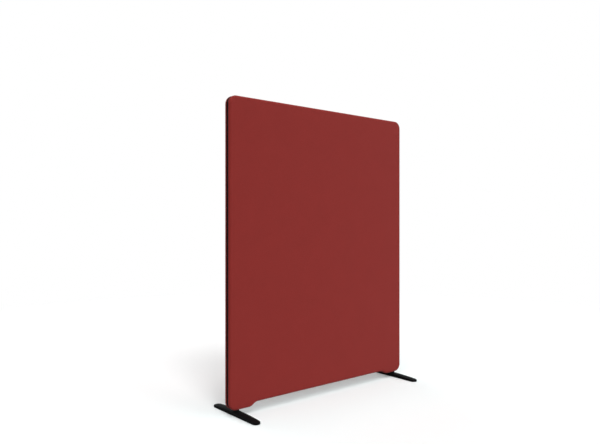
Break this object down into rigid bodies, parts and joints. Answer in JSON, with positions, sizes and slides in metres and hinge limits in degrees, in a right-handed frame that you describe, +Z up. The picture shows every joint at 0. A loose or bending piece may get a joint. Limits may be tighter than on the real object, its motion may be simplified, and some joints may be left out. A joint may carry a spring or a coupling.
{
  "type": "floor screen",
  "caption": "Free-standing padded floor screen with rounded corners, a zipped fabric cover and crowned black feet set across its ends.",
  "frame": {"origin": "on the floor, under the middle of the panel", "axes": "+X along the panel's width, -Y out of the front face, +Z up"},
  "size_m": [1.2045, 0.36, 1.5],
  "materials": {
    "cover_fabric": "matte woven wool-look upholstery, dark red",
    "zip_tape": "black woven polyester tape",
    "zip_teeth": "black moulded acetal, satin",
    "zip_metal": "black enamelled die-cast zinc",
    "wadding": "off-white polyester wadding",
    "frame_wood": "planed spruce",
    "tenon_wood": "planed beech",
    "absorber_felt": "grey recycled fibre felt",
    "foot_paint": "black powder coat, satin, on cast metal",
    "spacer_plastic": "black moulded nylon",
    "plate_steel": "zinc plated steel",
    "fastener_steel": "zinc plated steel",
    "glide_rubber": "black rubber"
  },
  "bodies": {
    "panel": {"front_cover": "cover_fabric", "rear_cover": "cover_fabric", "bottom_gusset": "zip_tape", "zip_tape_front": "zip_tape", "zip_tape_rear": "zip_tape", "zip_chain_front": "zip_teeth", "zip_chain_rear": "zip_teeth", "zip_teeth_front": "zip_teeth", "zip_teeth_rear": "zip_teeth", "zip_stops": "zip_teeth", "front_wadding": "wadding", "rear_wadding": "wadding", "frame_stile_left": "frame_wood", "frame_stile_right": "frame_wood", "frame_top_rail": "frame_wood", "frame_mid_rail": "frame_wood", "frame_bottom_rail": "frame_wood", "leg_block_left": "frame_wood", "leg_block_right": "frame_wood", "frame_tenons": "tenon_wood", "core_slab_upper": "absorber_felt", "core_slab_lower": "absorber_felt", "foot_left": "foot_paint", "foot_right": "foot_paint", "foot_spacers": "spacer_plastic", "foot_plates": "plate_steel", "foot_glides": "glide_rubber", "foot_bolts": "fastener_steel", "insert_nuts": "fastener_steel", "plate_screws": "fastener_steel"},
    "slider": {"zip_slider": "zip_metal"},
    "pull": {"zip_pull": "zip_metal"}
  },
  "joints": [
    {"name": "zip_slide", "type": "slide", "parent": "panel", "child": "slider", "axis": [0, 0, 1], "range_m": [0, 1.35], "deforming": ["zip_teeth_front", "zip_teeth_rear", "zip_chain_front", "zip_chain_rear"]},
    {"name": "pull_swing", "type": "hinge", "parent": "slider", "child": "pull", "pos_m": [0.6012, 0, 0.0877], "axis": [0, -1, 0], "range_deg": [0, 175]}
  ]
}
